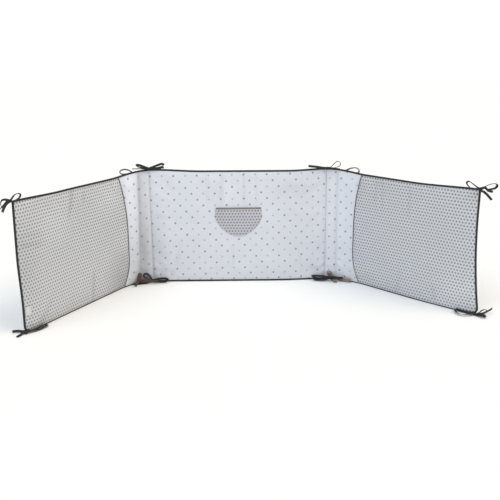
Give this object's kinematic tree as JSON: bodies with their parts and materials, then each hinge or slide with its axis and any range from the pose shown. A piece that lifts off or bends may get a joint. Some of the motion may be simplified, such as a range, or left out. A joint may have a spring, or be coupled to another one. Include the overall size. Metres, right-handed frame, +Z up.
{
  "type": "crib bumper",
  "caption": "Padded cot surround standing in an open U: white and grey star-print cotton, charcoal binding, half-moon patch pocket, stitched fold lines and flat cloth ties in bows.",
  "frame": {"origin": "on the floor under the middle of the centre panel, on the flat edge of its bottom binding", "axes": "+X along the centre panel towards the right side panel, -Y towards the viewer and into the open U, +Z up"},
  "size_m": [1.4806, 0.5277, 0.4309],
  "materials": {
    "grey_print": "matt cotton poplin printed with small stars",
    "white_print": "matt cotton poplin printed with scattered stars",
    "binding": "matt folded cotton bias tape",
    "piping": "matt cotton piping",
    "label": "smooth woven satin ribbon, blank",
    "tie_charcoal": "matt flat cotton tape",
    "tie_brown": "matt flat cotton tape"
  },
  "bodies": {
    "root": {"panel_left": "grey_print", "panel_centre": "white_print", "panel_right": "grey_print", "piping_left": "piping", "piping_right": "piping", "binding_bottom_left": "binding", "binding_bottom_centre": "binding", "binding_bottom_right": "binding", "binding_top_left": "binding", "binding_top_centre": "binding", "binding_top_right": "binding", "binding_end_left": "binding", "binding_end_right": "binding", "pocket": "grey_print", "pocket_binding": "binding", "label": "label", "tie_left_top": "tie_charcoal", "tie_left_bottom": "tie_charcoal", "tie_right_top": "tie_charcoal", "tie_right_bottom": "tie_charcoal", "tie_corner_left_top": "tie_charcoal", "tie_corner_left_bottom": "tie_charcoal", "tie_corner_right_top": "tie_charcoal", "tie_corner_right_bottom": "tie_charcoal", "tie_brown_left_top": "tie_brown", "tie_brown_left_bottom": "tie_brown", "tie_brown_right_top": "tie_brown", "tie_brown_right_bottom": "tie_brown"}
  },
  "joints": []
}
